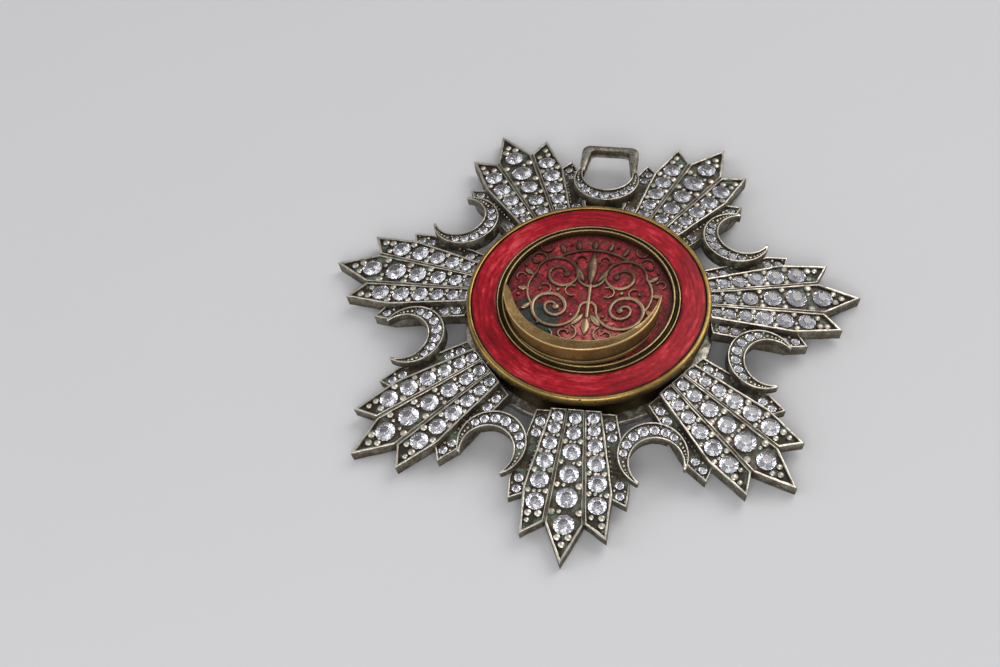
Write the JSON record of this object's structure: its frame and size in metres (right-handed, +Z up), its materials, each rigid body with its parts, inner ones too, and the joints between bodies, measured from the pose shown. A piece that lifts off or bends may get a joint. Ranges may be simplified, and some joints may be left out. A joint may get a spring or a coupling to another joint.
{
  "type": "medal brooch",
  "caption": "Breast star badge: fluted silver rays set with clear stones, crescents between them, a raised red enamel medallion with a gold crescent, a hanger frame and a pin.",
  "frame": {"origin": "centre of the bounding box, on the surface that the ray tips rest on", "axes": "+Z up through the medallion, +Y towards the hanger frame, +X across, to the wearer's left as the badge is seen with its face up"},
  "size_m": [0.078, 0.076, 0.0128],
  "materials": {
    "ray_silver": "oxidised silver with polished edges",
    "crescent_silver": "oxidised silver with polished edges",
    "back_silver": "dull tarnished silver",
    "rim_gold": "worn bright gold with dark pits",
    "crescent_gold": "brushed old gold",
    "scroll_gold": "rubbed raised gold",
    "ring_enamel": "translucent red enamel over brushed metal",
    "disc_enamel": "worn mottled red enamel",
    "stone": "clear cut stone"
  },
  "bodies": {
    "root": {"ray_1": "ray_silver", "ray_2": "ray_silver", "ray_3": "ray_silver", "ray_4": "ray_silver", "ray_5": "ray_silver", "ray_6": "ray_silver", "ray_7": "ray_silver", "crescent_1": "crescent_silver", "crescent_2": "crescent_silver", "crescent_3": "crescent_silver", "crescent_5": "crescent_silver", "crescent_6": "crescent_silver", "crescent_7": "crescent_silver", "crescent_hanger": "crescent_silver", "ray_stones_1": "stone", "ray_stones_2": "stone", "ray_stones_3": "stone", "ray_stones_4": "stone", "ray_stones_5": "stone", "ray_stones_6": "stone", "ray_stones_7": "stone", "crescent_stones_1": "stone", "crescent_stones_2": "stone", "crescent_stones_3": "stone", "crescent_stones_4": "stone", "crescent_stones_5": "stone", "crescent_stones_6": "stone", "crescent_stones_7": "stone", "gallery_ring": "back_silver", "brooch_pin": "back_silver", "medallion_case": "rim_gold", "inner_bezel": "rim_gold", "gold_crescent": "crescent_gold", "gold_scrolls": "scroll_gold", "enamel_ring": "ring_enamel", "enamel_disc": "disc_enamel"}
  },
  "joints": []
}
